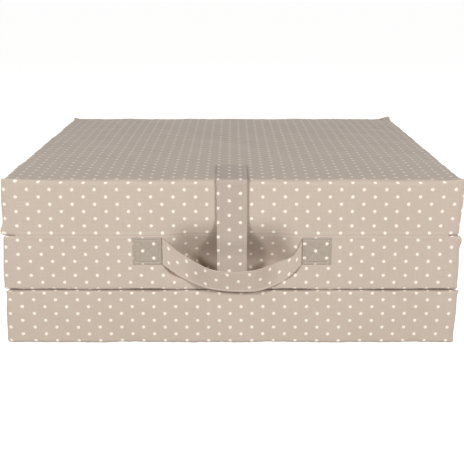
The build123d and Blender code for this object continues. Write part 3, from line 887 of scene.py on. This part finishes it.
tape_inset = 0.5
tape_length = 37.0
tape_y = -panel_half - cloth_clearance - tongue_thickness - cloth_clearance - tape_thickness / 2
tape_z = np.linspace(strap_bottom + tape_inset, strap_bottom + tape_inset + tape_length, 12)
tape_line = coordinates(0.0, tape_y + tucked(tape_z), tape_z)
tape = swept(tape_line, [strap_width - 1.0, 0.0, 0.0], [0.0, 1.0, 0.0], strap_outline(tape_thickness),
             tape_z, 0.0)
hook_tape = make_piece("strap_hooks", [tape], [hooks])
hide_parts("strap_hook_tape")
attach(hook_tape, "closing_strap")
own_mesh(hook_tape)

# The tongue's line: level out of the slit between two panels, up on a bend, and straight up the front.
tongue_y = -panel_half - cloth_clearance - tongue_thickness / 2
tongue_bend = 1.0
slit_z = panel_pitch - half_gap
foot = coordinates(np.linspace(-panel_half + 1.2, tongue_y + tongue_bend, 5), slit_z)
knee_angles = np.linspace(-math.pi / 2, -math.pi, 6)[1:]
knee_centre = np.array([tongue_y + tongue_bend, slit_z + tongue_bend])
knee = knee_centre + tongue_bend * coordinates(np.cos(knee_angles), np.sin(knee_angles))
rise_z = np.linspace(knee[-1, 1] + 1.5, slit_z + 42.0, 24)
line = np.concatenate([foot, knee, coordinates(tongue_y + tucked(rise_z), rise_z)])
tangent = unit(np.gradient(line, axis=0))
tongue_out = coordinates(0.0, -tangent[:, 1], tangent[:, 0])
tongue = swept(coordinates(0.0, line[:, 0], line[:, 1]), [strap_width, 0.0, 0.0], tongue_out,
               strap_outline(0.9), np.arange(len(line)) * 1.8, 0.0)
loop_tongue = make_piece("loop_tongue", [tongue], [loops])
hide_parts("strap_loop_tongue")
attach(loop_tongue, "bottom_panel")


# Zips: a nylon coil zip in the left side of each cover, so that the cover comes off for washing. Its tapes
# are woven polyester, sewn behind the slot and dull, and its coils are moulded nylon with a low sheen. The
# slider and the pull are cast in zinc and enamelled to match, which shines a little.
zip_woven, zip_nylon, zip_enamel = [
    mottled(name, low_code, high_code, "ShaderNodeTexNoise", "Fac", [("Scale", scale), ("Detail", 2.0)],
            relief=(0.3, 0.0002), finish=[("Roughness", roughness), ("Coat Weight", coat)])
    for name, low_code, high_code, scale, roughness, coat in (
        ("woven_polyester_tape", "#b9ab9b", "#cfc2b2", 1500.0, 0.85, 0.0),
        ("moulded_nylon_coil", "#b7a998", "#c9bbaa", 300.0, 0.42, 0.0),
        ("enamelled_zinc", "#a99b8a", "#b9ab9a", 60.0, 0.34, 0.35),
    )
]

tape_face = -panel_half + 1.2
tape_half_length = 292.0
tape_offset = 6.7
coil_half_length = 277.0
coil_offset = 2.25
tooth_pitch = 2.0
stop_place = 278.5
lip_seam_offset = 7.4


def zip_bar(x, along_y, z, width, outline, number=0):
    """A bar that runs along the zip at the given x and z, with its flat side to the left."""
    return swept(coordinates(x, along_y, z), [0.0, 0.0, width], [-1.0, 0.0, 0.0], outline, along_y, 0.0,
                 number)


for level, panel in enumerate(panels):
    z_mid = level * panel_pitch + panel_height / 2
    along_y = np.linspace(-tape_half_length, tape_half_length, 60)
    halves = [zip_bar(tape_face + 0.4, along_y, z_mid + sign * tape_offset, 12.0,
                      strap_outline(0.8, steps=10)) for sign in (-1, 1)]
    tapes = make_piece(f"{panel}_zip_tapes", halves, [zip_woven])
    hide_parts(f"{panel}_zip_tape")
    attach(tapes, panel)
    # The coil's visible loops: short rounded bars across the slit, from either tape by turns.
    tooth_y = np.arange(-276.0, 276.01, tooth_pitch)
    shift = np.where(np.arange(len(tooth_y)) % 2 == 0, 0.45, -0.45)
    teeth = stitches(coordinates(tape_face - 0.75, tooth_y, z_mid + shift),
                     np.array([0.0, 0.25, 1.0]) / math.hypot(0.25, 1.0), [-1.0, 0.0, 0.0],
                     length=4.6, width=1.5, height=0.95, number=0)
    # Beside the loops each coil's back shows as a cord, and a metal stop closes the chain at both ends.
    along_y = np.linspace(-coil_half_length, coil_half_length, 140)
    wave = 0.12 * np.sin(along_y * math.pi / tooth_pitch)
    cords = [zip_bar(tape_face - 0.45, along_y, z_mid + sign * (coil_offset + wave), 1.1,
                     strap_outline(0.9, steps=8)) for sign in (-1, 1)]
    stops = [zip_bar(tape_face - 1.3, sign * stop_place + np.linspace(-1.4, 1.4, 5), z_mid, 5.6,
                     strap_outline(2.4, steps=10), 1) for sign in (-1, 1)]
    chain = make_piece(f"{panel}_zip_coils", [teeth, *cords, *stops], [zip_nylon, zip_enamel])
    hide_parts(f"{panel}_zip_chain")
    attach(chain, panel)
    for node in (f"{panel}_zip_slider", f"{panel}_zip_pull"):
        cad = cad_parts[node]
        cad.data.materials.clear()
        cad.data.materials.append(zip_enamel)
    # The slot's lips are held down by a row of stitches on each side.
    seam_y = np.arange(-286.0, 286.1, stitch_pitch)
    rows = [stitches(coordinates(-panel_half - 0.95, seam_y, z_mid + sign * lip_seam_offset),
                     [0.0, 1.0, 0.0], [-1.0, 0.0, 0.0], number=0) for sign in (-1, 1)]
    seam = make_piece(f"{panel}_zip_stitching", rows, [thread])
    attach(seam, panel)
